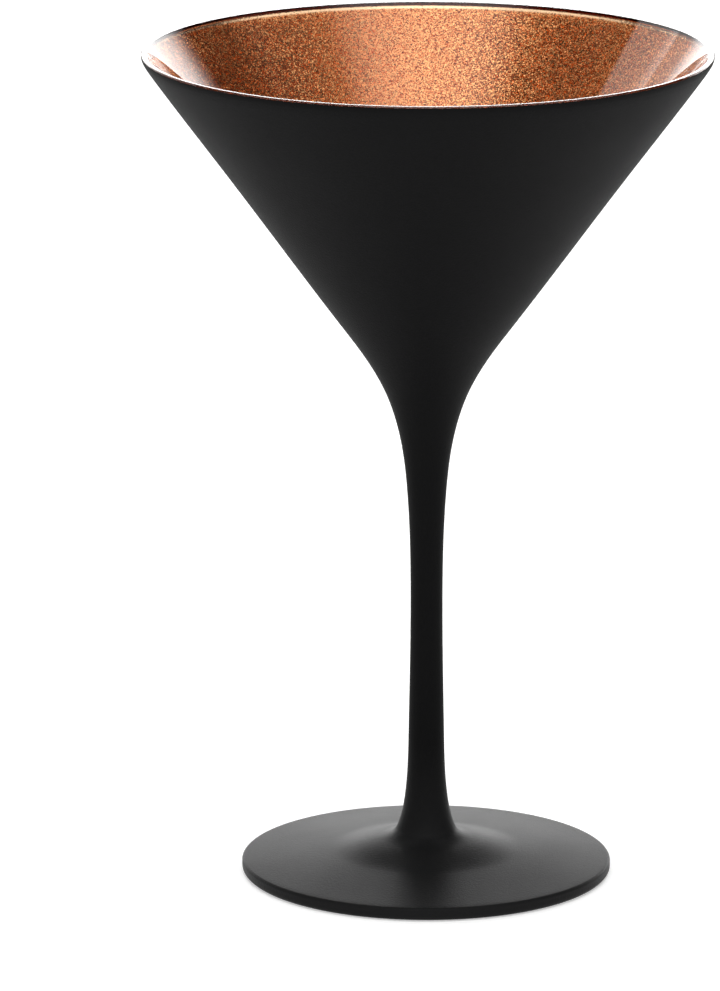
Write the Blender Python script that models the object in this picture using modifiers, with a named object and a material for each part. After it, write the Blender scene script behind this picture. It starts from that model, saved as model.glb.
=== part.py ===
# Martini glass in clear glass, lacquered bronze behind the bowl and matte black all over the outside.
# Metres, +Z up. The glass stands on z = 0 with its axis on Z, and every piece is turned about that axis.
#
# From the drink outwards, the bowl's wall is: clear glass, bronze lacquer, black lacquer.
# The stem and the foot are clear glass under black lacquer.

import math

import bpy

# Driving dimensions
GLASS_HEIGHT = 0.172
RIM_DIAMETER = 0.116
FOOT_DIAMETER = 0.0762
WAIST_DIAMETER = 0.0066       # thinnest place of the stem
WAIST_HEIGHT = 0.057
EDGE_HEIGHT = 0.0029          # top of the foot's edge
EDGE_ROUND = 0.0006           # rounding of the edge, above and below

# Wall and lacquers
RIM_WALL = 0.0011             # glass at the rim, which is fire polished to a full round
RIM_START = 144               # where the inside wall meets the round, in degrees from level outwards
INNER_CONE_END = (0.0148, 0.1168)   # radius and height where the inside leaves the cone
INNER_TURN = (0.0074, 0.1070)       # radius and height where it rounds into the bottom
FLOOR_HEIGHT = 0.1002         # deepest point of the inside of the bowl
LACQUER = 0.00012             # thickness of a lacquer film
GAP = 0.0003                  # clearance between touching pieces
BARE_RIM = 0.0003             # the lacquers stop this far below the rim
BRONZE_END = 0.099            # lower end of the bronze lacquer, on the bowl's solid bottom

# Joints between the three glass pieces
BOWL_JOINT = 0.092            # bowl on stem
FOOT_JOINT = 0.009            # stem on foot

# Underside of the foot
REST_INNER = 0.0330           # radii of the flat ring that the glass stands on
REST_OUTER = 0.0358
DOME_HEIGHT = 0.0024          # rise of the hollow underside at the axis
BASE_LACQUER_RADIUS = 0.0290

SEGMENTS = 48                 # round the axis

# Outline of the lacquered outside, from the rim to the foot's edge, as stations joined by smooth curves.
# Each station is a radius, a height and the wall's lean in degrees from straight down: positive draws in
# towards the axis on the way down, -90 runs level outwards. The last number is the count of steps from it.
OUTSIDE = [
    (RIM_DIAMETER / 2, GLASS_HEIGHT - BARE_RIM, 0, 2),            # top edge of the black lacquer, upright
    (0.0576, 0.1704, 31, 1),                                      # lip
    (0.0567, 0.1690, 35.5, 2),                                    # cone, straight but for a slight swell
    (0.0412, 0.1480, 36.5, 2),                                    # middle of the cone
    (0.0163, 0.1140, 37, 4),                                      # lower end of the cone
    (0.0092, 0.1030, 26.5, 3),                                    # throat
    (0.0055, 0.0920, 12, 2),                                      # neck of the stem
    (0.0039, 0.0790, 4, 2),                                       # upper stem
    (WAIST_DIAMETER / 2, WAIST_HEIGHT, 0, 3),                     # waist
    (0.0037, 0.0280, -1, 2),                                      # lower stem
    (0.0047, 0.0140, -9.5, 2),                                    # swelling towards the foot
    (0.0061, 0.0092, -23, 5),                                     # fillet into the foot
    (0.0106, 0.0069, -77.5, 2),                                   # foot, a shallow hollow
    (0.0200, 0.0047, -84, 1),                                     # foot, straight to the edge
    (FOOT_DIAMETER / 2 - EDGE_ROUND, EDGE_HEIGHT, -84.5, 2),      # top of the edge
    (FOOT_DIAMETER / 2, EDGE_HEIGHT - EDGE_ROUND, 0, 1),          # side of the edge, upright
    (FOOT_DIAMETER / 2, 2 * EDGE_ROUND, 0, 2),
    (FOOT_DIAMETER / 2 - EDGE_ROUND, EDGE_ROUND / 2, 60, 0),      # lower end of the black lacquer
]


def station_tangent(lean):
    angle = math.radians(lean)
    return (-math.sin(angle), -math.cos(angle))


def curve_through(stations):
    """Cubic curves from station to station, as (radius, height) points."""
    points = []
    for (r0, z0, lean0, steps), (r1, z1, lean1, _) in zip(stations, stations[1:]):
        chord = math.hypot(r1 - r0, z1 - z0)
        (tr0, tz0), (tr1, tz1) = station_tangent(lean0), station_tangent(lean1)
        for step in range(steps):
            t = step / steps
            a = 2 * t**3 - 3 * t**2 + 1
            b = (t**3 - 2 * t**2 + t) * chord
            c = 3 * t**2 - 2 * t**3
            d = (t**3 - t**2) * chord
            points.append((a * r0 + b * tr0 + c * r1 + d * tr1, a * z0 + b * tz0 + c * z1 + d * tz1))
    points.append(stations[-1][:2])
    return points


def moved_inwards(points, depth_at):
    """The same outline sunk into the wall, by a depth that may depend on the height."""
    sunk = []
    for index, (r, z) in enumerate(points):
        before = points[max(index - 1, 0)]
        after = points[min(index + 1, len(points) - 1)]
        dr, dz = after[0] - before[0], after[1] - before[1]
        length = math.hypot(dr, dz)
        depth = depth_at(z)
        sunk.append((r + depth * dz / length, z - depth * dr / length))
    return sunk


def between(points, top, bottom):
    """The stretch of a falling outline between two heights, with a point exactly at each."""
    cut = []
    for (r0, z0), (r1, z1) in zip(points, points[1:]):
        for height in (top, bottom):
            if z0 > height >= z1:
                t = (z0 - height) / (z0 - z1)
                cut.append((r0 + t * (r1 - r0), height))
        if top > z1 > bottom:
            cut.append((r1, z1))
    return cut


def arc(centre, radius, start, end, steps):
    """Points round a centre, between two angles in degrees."""
    angles = [math.radians(start + (end - start) * step / steps) for step in range(steps + 1)]
    return [(centre[0] + radius * math.cos(a), centre[1] + radius * math.sin(a)) for a in angles]


def turned(name, outline, closed, material, collection, parent):
    """A solid turned about Z from an outline that runs down its outer side."""
    mesh = bpy.data.meshes.new(name)
    edges = [(i, i + 1) for i in range(len(outline) - 1)]
    if closed:
        edges.append((len(outline) - 1, 0))
    mesh.from_pydata([(r, 0, z) for r, z in outline], edges, [])
    mesh.materials.append(material)
    piece = bpy.data.objects.new(name, mesh)
    collection.objects.link(piece)
    piece.parent = parent
    screw = piece.modifiers.new("Turn", "SCREW")
    screw.axis = "Z"
    screw.angle = 2 * math.pi
    screw.steps = SEGMENTS
    screw.render_steps = SEGMENTS
    screw.use_merge_vertices = True
    screw.merge_threshold = 0.00001
    screw.use_smooth_shade = True
    return piece


def finish(name, color, roughness, metallic=0.0, transmission=0.0):
    material = bpy.data.materials.new(name)
    material.use_nodes = True
    shader = material.node_tree.nodes["Principled BSDF"]
    shader.inputs["Base Color"].default_value = (*color, 1)
    shader.inputs["Roughness"].default_value = roughness
    shader.inputs["Metallic"].default_value = metallic
    shader.inputs["Transmission Weight"].default_value = transmission
    shader.inputs["IOR"].default_value = 1.52 if transmission else 1.5
    return material


def lacquer_depth(_):
    """Thickness of a lacquer film."""
    return LACQUER


def film_depth(_):
    """Depth of what lies straight under the black lacquer, anywhere on the glass."""
    return LACQUER + GAP


def bowl_depth(height):
    """Depth of the bowl's glass, one film deeper behind the bronze lacquer and easing out below it."""
    ease = min(max((height - BOWL_JOINT) / (BRONZE_END - GAP - BOWL_JOINT), 0), 1)
    return (LACQUER + GAP) * (1 + ease * ease * (3 - 2 * ease))


def dome(radius):
    """Height of the hollow underside of the foot."""
    return DOME_HEIGHT * (1 - (radius / REST_INNER) ** 2)


def bowl_glass_outline(outside):
    wall = moved_inwards(outside, bowl_depth)
    outer = between(wall, GLASS_HEIGHT - RIM_WALL, BOWL_JOINT + GAP / 2)
    bead = RIM_WALL / 2
    rim_centre = (wall[0][0] - bead, GLASS_HEIGHT - bead)
    rim = arc(rim_centre, bead, RIM_START, 90, 2) + arc(rim_centre, bead, 90, 0, 3)[1:]
    inside = curve_through([
        (*rim[0], 36, 5),
        (*INNER_CONE_END, 37, 2),
        (*INNER_TURN, 40, 3),
        (0.0, FLOOR_HEIGHT, 90, 0),
    ])
    return inside[:0:-1] + rim + outer + [(0.0, BOWL_JOINT + GAP / 2)]


def stem_glass_outline(outside):
    wall = moved_inwards(outside, film_depth)
    top, bottom = BOWL_JOINT - GAP / 2, FOOT_JOINT + GAP / 2
    return [(0.0, top)] + between(wall, top, bottom) + [(0.0, bottom)]


def foot_glass_outline(outside):
    wall = moved_inwards(outside, film_depth)
    top = FOOT_JOINT - GAP / 2
    upper = between(wall, top, wall[-1][1])
    turn = curve_through([(*upper[-1], 60, 2), (REST_OUTER, 0.0, 90, 0)])
    underside = [(REST_INNER * step / 5, dome(REST_INNER * step / 5)) for step in range(5, -1, -1)]
    return [(0.0, top)] + upper + turn[1:] + underside


def bronze_outline(outside):
    outer = between(moved_inwards(outside, film_depth), GLASS_HEIGHT - BARE_RIM, BRONZE_END)
    inner = moved_inwards(outer, lacquer_depth)
    return outer + inner[::-1]


def black_outline(outside):
    inner = moved_inwards(outside, lacquer_depth)
    return outside + inner[::-1]


def base_outline():
    radii = [BASE_LACQUER_RADIUS * step / 5 for step in range(6)]
    upper = [(r, dome(r) - GAP) for r in radii]
    lower = [(r, z - LACQUER) for r, z in upper]
    return upper + lower[::-1]


def build():
    for item in list(bpy.context.scene.objects):
        bpy.data.objects.remove(item, do_unlink=True)

    collection = bpy.data.collections.new("martini_glass")
    bpy.context.scene.collection.children.link(collection)
    axis = bpy.data.objects.new("glass_axis", None)
    collection.objects.link(axis)

    outside = curve_through(OUTSIDE)
    clear = (0.93, 0.95, 0.94)
    black = (0.012, 0.012, 0.013)
    pieces = [
        ("bowl_glass", bowl_glass_outline(outside), False, clear, 0.02, 0.0, 1.0),
        ("stem_glass", stem_glass_outline(outside), False, clear, 0.02, 0.0, 1.0),
        ("foot_glass", foot_glass_outline(outside), False, clear, 0.02, 0.0, 1.0),
        ("bronze_lacquer", bronze_outline(outside), True, (0.46, 0.19, 0.075), 0.35, 0.8, 0.0),
        ("black_lacquer", black_outline(outside), True, black, 0.6, 0.0, 0.0),
        ("base_lacquer", base_outline(), False, black, 0.6, 0.0, 0.0),
    ]
    for name, outline, closed, color, roughness, metallic, transmission in pieces:
        material = finish(name, color, roughness, metallic, transmission)
        turned(name, outline, closed, material, collection, axis)


build()
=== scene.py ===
import math

import bpy
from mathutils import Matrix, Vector


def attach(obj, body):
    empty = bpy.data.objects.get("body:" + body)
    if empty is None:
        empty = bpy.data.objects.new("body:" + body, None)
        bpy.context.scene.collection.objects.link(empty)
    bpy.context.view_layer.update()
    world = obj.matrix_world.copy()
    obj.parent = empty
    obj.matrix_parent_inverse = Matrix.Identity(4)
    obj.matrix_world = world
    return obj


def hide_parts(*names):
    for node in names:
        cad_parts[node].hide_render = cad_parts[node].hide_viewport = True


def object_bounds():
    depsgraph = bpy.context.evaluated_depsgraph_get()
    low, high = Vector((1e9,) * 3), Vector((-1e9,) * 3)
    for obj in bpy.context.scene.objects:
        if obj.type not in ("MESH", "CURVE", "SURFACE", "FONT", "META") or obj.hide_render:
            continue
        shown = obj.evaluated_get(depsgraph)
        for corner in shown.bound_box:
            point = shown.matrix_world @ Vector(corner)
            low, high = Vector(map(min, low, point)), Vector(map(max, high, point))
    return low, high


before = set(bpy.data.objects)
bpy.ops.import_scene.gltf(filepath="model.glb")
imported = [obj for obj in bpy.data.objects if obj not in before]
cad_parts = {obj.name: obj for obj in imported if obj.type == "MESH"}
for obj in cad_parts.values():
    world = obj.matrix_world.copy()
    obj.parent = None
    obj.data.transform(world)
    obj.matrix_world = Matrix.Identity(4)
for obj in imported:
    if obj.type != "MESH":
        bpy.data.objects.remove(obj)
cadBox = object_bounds()
rimHeight = cadBox[1].z
rimRadius = (cadBox[1].x - cadBox[0].x) / 2
print("frame loaded, glass", round(rimHeight * 1000, 1), "mm tall")


class Socket:
    # a node's output that can be used in sums, so that shader maths reads as ordinary expressions
    def __init__(self, nodes, output):
        self.nodes = nodes
        self.output = output

    def maths(self, operation, *others):
        values = dict(enumerate((self, *others)))
        return self.nodes.add("ShaderNodeMath", {"operation": operation}, values)

    def __add__(self, other):
        return self.maths("ADD", other)

    def __sub__(self, other):
        return self.maths("SUBTRACT", other)

    def __mul__(self, other):
        return self.maths("MULTIPLY", other)

    def __truediv__(self, other):
        return self.maths("DIVIDE", other)

    def __pow__(self, other):
        return self.maths("POWER", other)

    def __rsub__(self, other):
        return self.nodes.add("ShaderNodeMath", {"operation": "SUBTRACT"}, {0: other, 1: self})

    def __rtruediv__(self, other):
        return self.nodes.add("ShaderNodeMath", {"operation": "DIVIDE"}, {0: other, 1: self})

    __radd__ = __add__
    __rmul__ = __mul__


class Nodes:
    # adds nodes to one tree: the type, its settings, then the values or links of its sockets
    def __init__(self, tree):
        self.tree = tree

    def add(self, kind, settings=None, sockets=None, out=0):
        node = self.tree.nodes.new(kind)
        for name, value in (settings or {}).items():
            setattr(node, name, value)
        for name, value in (sockets or {}).items():
            if isinstance(value, Socket):
                self.tree.links.new(value.output, node.inputs[name])
            else:
                node.inputs[name].default_value = value
        output = node.outputs[out] if node.outputs else None    # a tree's output node has none
        return Socket(self, output)

    def part(self, socket, out):
        # another output of the same node
        return Socket(self, socket.output.node.outputs[out])

    def step(self, value, start, end):
        # 0 at start, 1 at end, eased in between
        settings = {"interpolation_type": "SMOOTHSTEP"}
        limits = {0: value, 1: start, 2: end, 3: 0.0, 4: 1.0}
        return self.add("ShaderNodeMapRange", settings, limits)

    def vector(self, operation, *values, out=0, scale=None):
        sockets = dict(enumerate(values))
        if scale is not None:
            sockets["Scale"] = scale
        return self.add("ShaderNodeVectorMath", {"operation": operation}, sockets, out)

    def blend(self, factor, first, second):
        # mixes two colours
        settings = {"data_type": "RGBA"}
        return self.add("ShaderNodeMix", settings, {0: factor, 6: first, 7: second}, 2)


def newMaterial(name):
    material = bpy.data.materials.new(name)
    material.use_nodes = True
    material.node_tree.nodes.clear()
    nodes = Nodes(material.node_tree)
    return material, nodes


def rgba(colour):
    return (*colour, 1)


white = (1, 1, 1)

crystalLook = {
    "tint": (0.985, 0.99, 0.985),
    "roughness": 0.0,
    "ior": 1.52,
}


def makeCrystal():
    material, nodes = newMaterial("clearCrystal")
    glass = nodes.add("ShaderNodeBsdfPrincipled", None, {
        "Base Color": rgba(crystalLook["tint"]),
        "Roughness": crystalLook["roughness"],
        "IOR": crystalLook["ior"],
        "Transmission Weight": 1.0,
    })
    through = nodes.add("ShaderNodeBsdfTransparent", None, {"Color": rgba(crystalLook["tint"])})
    shadow = nodes.part(nodes.add("ShaderNodeLightPath"), "Is Shadow Ray")
    mixed = nodes.add("ShaderNodeMixShader", None, {0: shadow, 1: glass, 2: through})
    nodes.add("ShaderNodeOutputMaterial", None, {"Surface": mixed})
    return material


bronzeLook = {
    "flake": 0.00019,                  # size of a flake
    "deep": (0.60, 0.088, 0.010),      # flakes that lean out of the surface
    "light": (0.97, 0.47, 0.19),       # flakes that lie flat in it
    "darkest": (0.06, 0.008, 0.001),   # what the duller flakes turn towards
    "shade": (0.60, 1.0),              # how much of its own colour a flake keeps, at least and at most
    "lie": 0.085,                      # how far most flakes lean
    "stray": 0.90,                     # and how much further a few of them do
    "strayPower": 5,                   # the higher it is, the fewer stray
    "flat": (1.15, 3),                 # flat up to this many times the lie, and not at all past the other
    "flatShine": (0.35, 0.65),         # lightness of every flat flake, and what chance adds to it
    "spark": (0.90, 0.96),             # chances between which a stray flake turns light again
    "sparkShine": 0.7,
    "roughness": (0.11, 0.30),         # flat flakes and stray ones
    "grain": 0.06,                     # roughness that chance adds
    "rimShadeBand": (0.00102, 0.00116),        # above this depth below the rim the bronze is darkened, a painted shade for the dark band along the glass's rim
    "paintedShadeColour": (0.13, 0.018, 0.002),
    "rimHighlightBand": (0.00145, 0.00190),      # down to this depth below the rim the bronze gets a painted highlight, and its flakes lie smoother there
    "paintedHighlightColour": (1.0, 0.66, 0.40),
    "smoothing": 0.85,
}


def makeBronze():
    look = bronzeLook
    material, nodes = newMaterial("bronzeSparkle")
    place = nodes.part(nodes.add("ShaderNodeTexCoord"), "Object")
    flakes = nodes.add("ShaderNodeTexVoronoi", None, {"Vector": place, "Scale": 1 / look["flake"]})
    dice = nodes.part(flakes, "Color")
    split = nodes.add("ShaderNodeSeparateColor", None, {0: dice})
    shine, grain = split, nodes.part(split, "Green")
    chance = nodes.add("ShaderNodeTexWhiteNoise", None, {"Vector": nodes.part(flakes, "Position")})

    # two bands along the rim: painted shade at the very top and a painted highlight below it
    depth = rimHeight - nodes.part(nodes.add("ShaderNodeSeparateXYZ", None, {0: place}), "Z")
    belowPaintedShade = nodes.step(depth, *look["rimShadeBand"])
    rimHighlightBand = 1 - nodes.step(depth, *look["rimHighlightBand"])

    # each flake leans its own way, most of them a little and a few of them far
    reach = look["lie"] + chance ** look["strayPower"] * look["stray"]
    reach = reach * (1 - rimHighlightBand * look["smoothing"])
    centred = nodes.vector("SUBTRACT", dice, (0.5, 0.5, 0.5))
    lean = nodes.vector("SCALE", centred, scale=reach * 2)
    surface = nodes.part(nodes.add("ShaderNodeNewGeometry"), "Normal")
    normal = nodes.vector("NORMALIZE", nodes.vector("ADD", surface, lean))

    flatEnd, strayStart = look["flat"]
    flat = 1 - nodes.step(reach, look["lie"] * flatEnd, look["lie"] * strayStart)
    everyFlake, byChance = look["flatShine"]
    spark = nodes.step(chance, *look["spark"]) * look["sparkShine"]
    flatness = (flat * (everyFlake + shine * byChance)).maths("MAXIMUM", spark)
    colour = nodes.blend(flatness, rgba(look["deep"]), rgba(look["light"]))
    dull, bright = look["shade"]
    colour = nodes.blend(1 - (dull + shine * (bright - dull)), colour, rgba(look["darkest"]))
    # painted highlight: a light cream band below the rim
    colour = nodes.blend(rimHighlightBand, colour, rgba(look["paintedHighlightColour"]))
    # painted shade: the bronze turns dark along the top of its band
    colour = nodes.blend(belowPaintedShade, rgba(look["paintedShadeColour"]), colour)
    glossy, rough = look["roughness"]
    shader = nodes.add("ShaderNodeBsdfPrincipled", None, {
        "Base Color": colour,
        "Metallic": 1.0,
        "Roughness": rough - flat * (rough - glossy) + grain * look["grain"],
        "Normal": normal,
    })
    nodes.add("ShaderNodeOutputMaterial", None, {"Surface": shader})
    return material


blackLook = {
    "colour": (0.0035, 0.0035, 0.0037),
    # the foot's black is lighter: partly greyer paint, partly painted light that brightens the foot's top
    "footColourAndPaintedLight": (0.0095, 0.0095, 0.0098),
    "specular": 0.058,
    "roughness": (0.43, 0.62),         # on the foot and on the bowl
    "change": (0.008, 0.030),          # heights between which it changes from the one to the other
    "cloud": 60.0,                     # scale of the broad, faint change in roughness
    "cloudDetail": 2.0,
    "clouding": 0.08,                  # and how strong it is
    "peel": 0.00045,                   # size of the sprayed grain
    "peelDetail": 3.0,
    "peelRoughness": 0.6,
    "peelDepth": 0.000055,
}


def makeBlack():
    look = blackLook
    material, nodes = newMaterial("matteBlack")
    place = nodes.part(nodes.add("ShaderNodeTexCoord"), "Object")
    peel = nodes.add("ShaderNodeTexNoise", None, {
        "Vector": place,
        "Scale": 1 / look["peel"],
        "Detail": look["peelDetail"],
        "Roughness": look["peelRoughness"],
    })
    cloud = nodes.add("ShaderNodeTexNoise", None, {
        "Vector": place,
        "Scale": look["cloud"],
        "Detail": look["cloudDetail"],
    })
    height = nodes.part(nodes.add("ShaderNodeSeparateXYZ", None, {0: place}), "Z")
    above = nodes.step(height, *look["change"])
    onFoot, onBowl = look["roughness"]
    roughness = onFoot + above * (onBowl - onFoot)
    bump = nodes.add("ShaderNodeBump", None, {
        "Strength": 1.0,
        "Distance": look["peelDepth"],
        "Height": peel,
    })
    shader = nodes.add("ShaderNodeBsdfPrincipled", None, {
        # lighter on the foot, which is partly painted light
        "Base Color": nodes.blend(above, rgba(look["footColourAndPaintedLight"]), rgba(look["colour"])),
        "Roughness": roughness + (cloud - 0.5) * look["clouding"],
        "Specular IOR Level": look["specular"],
        "Normal": bump,
    })
    nodes.add("ShaderNodeOutputMaterial", None, {"Surface": shader})
    return material


bareRim = 0.0003              # the lacquers stop this far below the rim

# The lacquered outside from the rim to the foot's edge, as stations joined by smooth curves. Each is a
# radius, a height and the wall's lean in degrees from straight down, where positive draws in on the way
# down and -90 runs level outwards.
glassOutline = {
    "top": (rimRadius, rimHeight - bareRim, 0),
    "lip": [(0.0578, 0.1708, 22), (0.0576, 0.1704, 31)],
    "cone": [
        (0.0567, 0.1690, 35.5),
        (0.0412, 0.1480, 36.5),
        (0.0163, 0.1140, 37),
        (0.0092, 0.1030, 26.5),
    ],
    "stem": [
        (0.0055, 0.0920, 12),
        (0.0039, 0.0790, 4),
        (0.0033, 0.0570, 0),
        (0.0037, 0.0280, -1),
    ],
    "flare": [
        (0.0047, 0.0140, -9.5),
        (0.0061, 0.0092, -23),
        (0.0106, 0.0069, -77.5),
        (0.0200, 0.0047, -84),
    ],
    "edge": [
        (0.0375, 0.0029, -84.5),
        (0.0381, 0.0023, 0),
        (0.0381, 0.0012, 0),
        (0.0375, 0.0003, 60),
    ],
    "steps": 12,              # points on the curve between two stations
}


def tangentOf(lean):
    angle = math.radians(lean)
    return Vector((-math.sin(angle), -math.cos(angle)))


def curveThrough(stations, steps):
    points = []
    for (r0, z0, lean0), (r1, z1, lean1) in zip(stations, stations[1:]):
        start, end = Vector((r0, z0)), Vector((r1, z1))
        reach = (end - start).length
        first, last = tangentOf(lean0) * reach, tangentOf(lean1) * reach
        for step in range(steps):
            t = step / steps
            points.append(start * (2 * t**3 - 3 * t**2 + 1) + first * (t**3 - 2 * t**2 + t)
                          + end * (3 * t**2 - 2 * t**3) + last * (t**3 - t**2))
    points.append(Vector(stations[-1][:2]))
    return points


def sunk(points, depth):
    # the same outline, moved into the wall
    moved = []
    for index, point in enumerate(points):
        along = points[min(index + 1, len(points) - 1)] - points[max(index - 1, 0)]
        moved.append(point + Vector((along.y, -along.x)).normalized() * depth)
    return moved


def cut(points, top, bottom):
    # the stretch of a falling outline between two heights
    kept = []
    for above, below in zip(points, points[1:]):
        for height in (top, bottom):
            if above.y > height >= below.y:
                kept.append(above.lerp(below, (above.y - height) / (above.y - below.y)))
        if top > below.y > bottom:
            kept.append(below)
    return kept


def arc(centre, radius, start, end, steps):
    # angles in degrees, from level outwards
    angles = [math.radians(start + (end - start) * step / steps) for step in range(steps + 1)]
    return [Vector(centre) + Vector((math.cos(a), math.sin(a))) * radius for a in angles]


def joinStations():
    stations = [glassOutline["top"]]
    for stretch in ("lip", "cone", "stem", "flare", "edge"):
        stations += glassOutline[stretch]
    return curveThrough(stations, glassOutline["steps"])


outside = joinStations()
print("outline ready,", len(outside), "points")


shells = {
    "segments": 192,          # flats round the axis
    "merge": 0.0000002,       # points closer than this become one, along the seam and on the axis
    "sharp": 40,              # edges that turn by more degrees than this stay crisp
}


def makeTurnedTree():
    tree = bpy.data.node_groups.new("turnedShell", "GeometryNodeTree")
    for name, kind in (("Outline", "Geometry"), ("Segments", "Int"), ("Finish", "Material")):
        tree.interface.new_socket(name, in_out="INPUT", socket_type="NodeSocket" + kind)
    tree.interface.new_socket("Shell", in_out="OUTPUT", socket_type="NodeSocketGeometry")
    nodes = Nodes(tree)
    given = nodes.add("NodeGroupInput")
    profile, segments, finish = given, nodes.part(given, "Segments"), nodes.part(given, "Finish")

    # a sheet with one column for each flat and one row for each point of the outline
    count = nodes.add("GeometryNodeAttributeDomainSize", {"component": "MESH"}, {0: profile})
    grid = nodes.add("GeometryNodeMeshGrid", None, {"Vertices X": segments + 1, "Vertices Y": count})
    index = nodes.add("GeometryNodeInputIndex")
    row = index.maths("MODULO", count)
    turn = ((index + 0.5) / count).maths("FLOOR") / segments

    # rolled round the axis
    place = nodes.add("GeometryNodeInputPosition")
    point = nodes.add("GeometryNodeSampleIndex", {"data_type": "FLOAT_VECTOR"}, {
        "Geometry": profile,
        "Value": place,
        "Index": row,
    })
    split = nodes.add("ShaderNodeSeparateXYZ", None, {0: point})
    radius, height = split, nodes.part(split, "Z")
    angle = turn * (2 * math.pi)
    moved = nodes.add("ShaderNodeCombineXYZ", None, {
        "X": radius * angle.maths("COSINE"),
        "Y": radius * angle.maths("SINE"),
        "Z": height,
    })
    shaped = nodes.add("GeometryNodeSetPosition", None, {"Geometry": grid, "Position": moved})
    flat = nodes.add("ShaderNodeCombineXYZ", None, {"X": turn, "Y": row / (count - 1)})
    mapped = nodes.add("GeometryNodeStoreNamedAttribute", {"data_type": "FLOAT2", "domain": "CORNER"}, {
        "Geometry": shaped,
        "Name": "UVMap",
        "Value": flat,
    })
    joined = nodes.add("GeometryNodeMergeByDistance", None, {
        "Geometry": mapped,
        "Distance": shells["merge"],
    })
    outward = nodes.add("GeometryNodeFlipFaces", None, {"Mesh": joined})
    smooth = nodes.add("GeometryNodeSetShadeSmooth", None, {"Geometry": outward, "Shade Smooth": True})
    real = nodes.add("GeometryNodeRealizeInstances", None, {"Geometry": smooth})
    painted = nodes.add("GeometryNodeSetMaterial", None, {"Geometry": real, "Material": finish})
    nodes.add("NodeGroupOutput", None, {"Shell": painted})
    return tree


turnedTree = makeTurnedTree()


def turned(name, points, material, segments):
    profile = bpy.data.meshes.new(name + "Outline")
    edges = [(i, i + 1) for i in range(len(points) - 1)]
    profile.from_pydata([(p.x, 0, p.y) for p in points], edges, [])
    maker = bpy.data.objects.new(name + "Maker", profile)
    bpy.context.scene.collection.objects.link(maker)
    modifier = maker.modifiers.new("Turn", "NODES")
    modifier.node_group = turnedTree
    inputs = [item for item in turnedTree.interface.items_tree if item.in_out == "INPUT"]
    sockets = {item.name: item.identifier for item in inputs}
    modifier[sockets["Segments"]] = segments
    modifier[sockets["Finish"]] = material
    depsgraph = bpy.context.evaluated_depsgraph_get()
    mesh = bpy.data.meshes.new_from_object(maker.evaluated_get(depsgraph))
    bpy.data.objects.remove(maker)
    mesh.name = name
    mesh.set_sharp_from_angle(angle=math.radians(shells["sharp"]))
    piece = bpy.data.objects.new(name, mesh)
    bpy.context.scene.collection.objects.link(piece)
    volume = sum(p.area * p.center.dot(p.normal) for p in mesh.polygons) / 3
    print(name, len(mesh.vertices), "points", round(volume * 1e6, 3), "ml")
    return piece


def standFor(piece, node):
    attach(piece, "root")
    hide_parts(node)


crystal = makeCrystal()
bronze = makeBronze()
black = makeBlack()
print("materials ready")


# how deep the faces of the films and of the glass lie below the outside
films = {
    "black": 0.00008,
    "bronze": (0.00006, 0.00012),      # the black overlaps it by a little, so that no gap shows
    "bowlGlass": 0.00010,              # behind the bronze
    "footGlass": 0.00006,              # behind the black alone
}

# the bowl's clear glass, with its fire polished rim
bowlGlass = {
    "rimWall": 0.00115,
    "round": (0.00030, 0.00036),       # rounding of the rim, inside and outside
    "roundStart": 144,                 # where the inside meets it, in degrees from level outwards
    "roundSteps": (8, 12),
    "inside": [(0.0148, 0.1168, 37), (0.0074, 0.1070, 40), (0.0, 0.1002, 90)],
    "insideLean": 36,                  # at the rim
    "insideSteps": 24,
    "seam": 0.00005,                   # the side starts this far below the rounding
    "joint": 0.0920,
}


def makeBowlGlass():
    wall = sunk(outside, films["bowlGlass"])
    inner, outer = bowlGlass["round"]
    innerSteps, outerSteps = bowlGlass["roundSteps"]
    inward = wall[0].x - bowlGlass["rimWall"] + inner
    rim = arc((inward, rimHeight - inner), inner, bowlGlass["roundStart"], 90, innerSteps)
    rim += arc((wall[0].x - outer, rimHeight - outer), outer, 90, 0, outerSteps)
    start = (rim[0].x, rim[0].y, bowlGlass["insideLean"])
    inside = curveThrough([start] + bowlGlass["inside"], bowlGlass["insideSteps"])
    side = cut(wall, rim[-1].y - bowlGlass["seam"], bowlGlass["joint"])
    points = inside[:0:-1] + rim + side + [Vector((0, bowlGlass["joint"]))]
    return turned("bowlGlass", points, crystal, shells["segments"])


standFor(makeBowlGlass(), "bowl_glass")


# stem and foot glass, under the black lacquer
stemGlass = {
    "top": 0.0919,
    "bottom": 0.0090,
    "segments": 96,
}

footGlass = {
    "top": 0.0089,
    "turn": 60,                        # lean below the edge, where it turns under
    "turnSteps": 10,
    "restInner": 0.0330,               # radii of the ring that the glass stands on
    "restOuter": 0.0358,
    "dome": 0.0024,                    # rise of the hollow underside at the axis
    "domeSteps": 24,
}


def domeAt(radius):
    return footGlass["dome"] * (1 - (radius / footGlass["restInner"]) ** 2)


def makeStemGlass():
    wall = cut(sunk(outside, films["footGlass"]), stemGlass["top"], stemGlass["bottom"])
    points = [Vector((0, stemGlass["top"]))] + wall + [Vector((0, stemGlass["bottom"]))]
    return turned("stemGlass", points, crystal, stemGlass["segments"])


def makeFootGlass():
    wall = sunk(outside, films["footGlass"])
    upper = cut(wall, footGlass["top"], wall[-1].y)
    start = (upper[-1].x, upper[-1].y, footGlass["turn"])
    under = curveThrough([start, (footGlass["restOuter"], 0, 90)], footGlass["turnSteps"])
    steps = footGlass["domeSteps"]
    radii = [footGlass["restInner"] * step / steps for step in range(steps, -1, -1)]
    underside = [Vector((r, domeAt(r))) for r in radii]
    points = [Vector((0, footGlass["top"]))] + upper + under[1:] + underside
    return turned("footGlass", points, crystal, shells["segments"])


standFor(makeStemGlass(), "stem_glass")
standFor(makeFootGlass(), "foot_glass")


# bronze sparkle behind the bowl's glass
bronzeFilm = {
    "end": 0.0935,                     # its lower end, on the bowl's solid bottom
}


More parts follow.
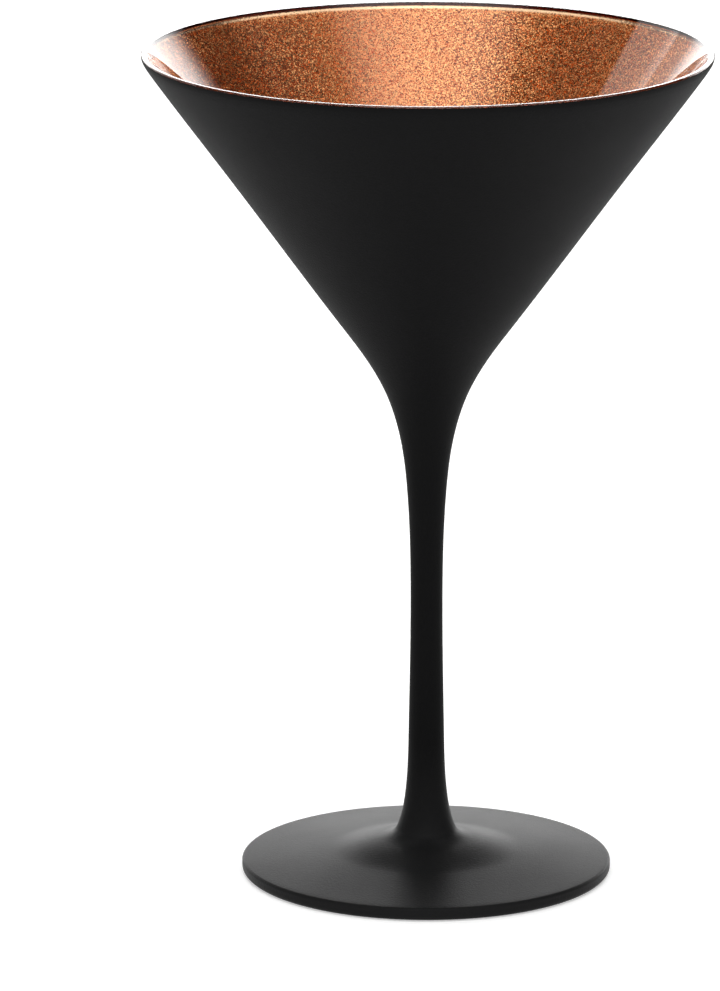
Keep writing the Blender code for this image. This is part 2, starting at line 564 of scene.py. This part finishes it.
def makeBronzeFilm():
    faces = [cut(sunk(outside, depth), rimHeight, bronzeFilm["end"]) for depth in films["bronze"]]
    points = faces[0] + faces[1][::-1]
    return turned("bronzeLacquer", points + points[:1], bronze, shells["segments"])


standFor(makeBronzeFilm(), "bronze_lacquer")


# matte black over everything but the rim and the ring that the glass stands on
def makeBlackFilm():
    points = outside + sunk(outside, films["black"])[::-1]
    return turned("blackLacquer", points + points[:1], black, shells["segments"])


# the black on the foot's hollow underside
baseFilm = {
    "radius": 0.0322,
    "overlap": 0.00002,                # how far it stands in the glass
    "steps": 24,
}


def makeBaseFilm():
    steps = baseFilm["steps"]
    radii = [baseFilm["radius"] * step / steps for step in range(steps + 1)]
    upper = [Vector((r, domeAt(r) + baseFilm["overlap"])) for r in radii]
    lower = [Vector((p.x, p.y - films["black"])) for p in upper]
    return turned("baseLacquer", upper + lower[::-1], black, shells["segments"])


standFor(makeBlackFilm(), "black_lacquer")
standFor(makeBaseFilm(), "base_lacquer")
print("pieces ready")


floorLook = {
    "width": 8.0,
    "colour": (0.9, 0.9, 0.9),
    "glow": 0.4,
}


def makeFloor():
    mesh = bpy.data.meshes.new("floor")
    half = floorLook["width"] / 2
    corners = [(-half, -half, 0), (half, -half, 0), (half, half, 0), (-half, half, 0)]
    mesh.from_pydata(corners, [], [(0, 1, 2, 3)])
    material, nodes = newMaterial("paleFloor")
    shader = nodes.add("ShaderNodeBsdfPrincipled", None, {
        "Base Color": rgba(floorLook["colour"]),
        "Roughness": 1.0,
        "Specular IOR Level": 0.0,
        "Emission Color": rgba(white),
        "Emission Strength": floorLook["glow"],
    })
    nodes.add("ShaderNodeOutputMaterial", None, {"Surface": shader})
    mesh.materials.append(material)
    floor = bpy.data.objects.new("floor", mesh)
    bpy.context.scene.collection.objects.link(floor)


# angles are in degrees, the first of a pair where a light starts and the second where it is full
ambient = 0.02

backdrop = {
    "strength": 3.9,
    "turn": 8.0,                       # to the right
    "sides": (43, 28),                 # from its middle
    "top": (30, 14),                   # above the floor
}

# round soft lights: the way to their middle, where they end and are full, and their strength
roundLights = {
    "key": ((0, -0.52, 0.85), (36, 12), 1.6),
    "zenith": ((0, 0.2, 1), (32, 10), 2.6),
    "sideBox": ((-0.76, 0.50, 0.42), (14, 11.5), 1.5),
    "sideFill": ((-0.60, 0.76, 0.24), (17, 5), 1.2),
    "rightFill": ((0.66, -0.15, 0.73), (32, 5), 0.10),
}

# a low band of light round the front
frontStrip = {
    "strength": 1.15,
    "bottom": (12, 17),                # above the floor
    "top": (44, 38),
    "front": (0.2, -0.1),              # not an angle but the Y of the way to it
}


def makeLight():
    world = bpy.data.worlds.new("studio")
    bpy.context.scene.world = world
    world.use_nodes = True
    world.node_tree.nodes.clear()
    nodes = Nodes(world.node_tree)
    look = nodes.part(nodes.add("ShaderNodeTexCoord"), "Generated")
    split = nodes.add("ShaderNodeSeparateXYZ", None, {0: look})
    x, y, z = split, nodes.part(split, "Y"), nodes.part(split, "Z")

    def fromMiddle(cosine, angles):
        return nodes.step(cosine, *[math.cos(math.radians(angle)) for angle in angles])

    def aboveFloor(angles):
        return nodes.step(z, *[math.sin(math.radians(angle)) for angle in angles])

    level = (x * x + y * y).maths("SQRT").maths("MAXIMUM", 0.001)    # not 0, even straight up
    turn = math.radians(backdrop["turn"])
    behind = (y * math.cos(turn) + x * math.sin(turn)) / level
    shape = fromMiddle(behind, backdrop["sides"]) * aboveFloor(backdrop["top"])
    strength = ambient + shape * backdrop["strength"]
    for middle, angles, power in roundLights.values():
        towards = tuple(Vector(middle).normalized())
        match = nodes.vector("DOT_PRODUCT", look, towards, out="Value")
        strength = strength + fromMiddle(match, angles) * power
    band = aboveFloor(frontStrip["bottom"]) * aboveFloor(frontStrip["top"])
    band = band * nodes.step(y, *frontStrip["front"])
    strength = strength + band * frontStrip["strength"]
    seen = nodes.part(nodes.add("ShaderNodeLightPath"), "Is Camera Ray")
    light = strength.maths("MAXIMUM", seen)    # the camera itself sees plain white
    background = nodes.add("ShaderNodeBackground", None, {"Color": rgba(white), "Strength": light})
    nodes.add("ShaderNodeOutputWorld", None, {"Surface": background})


camera = {
    "distance": 1.5674,       # in front of the glass's axis
    "height": 0.4664,
    "down": 13.859,           # degrees
    "left": 0.5005,           # degrees, which sets the glass a little right of the middle
    "lens": 286.14,
    "clip": (0.01, 100),
}


def makeCamera():
    data = bpy.data.cameras.new("camera")
    data.lens = camera["lens"]
    data.clip_start, data.clip_end = camera["clip"]
    eye = bpy.data.objects.new("camera", data)
    bpy.context.scene.collection.objects.link(eye)
    eye.location = (0, -camera["distance"], camera["height"])
    eye.rotation_euler = (math.radians(90 - camera["down"]), 0, math.radians(camera["left"]))
    bpy.context.scene.camera = eye


makeFloor()
makeLight()
makeCamera()
bpy.context.scene.view_settings.view_transform = "Standard"
print("studio ready")
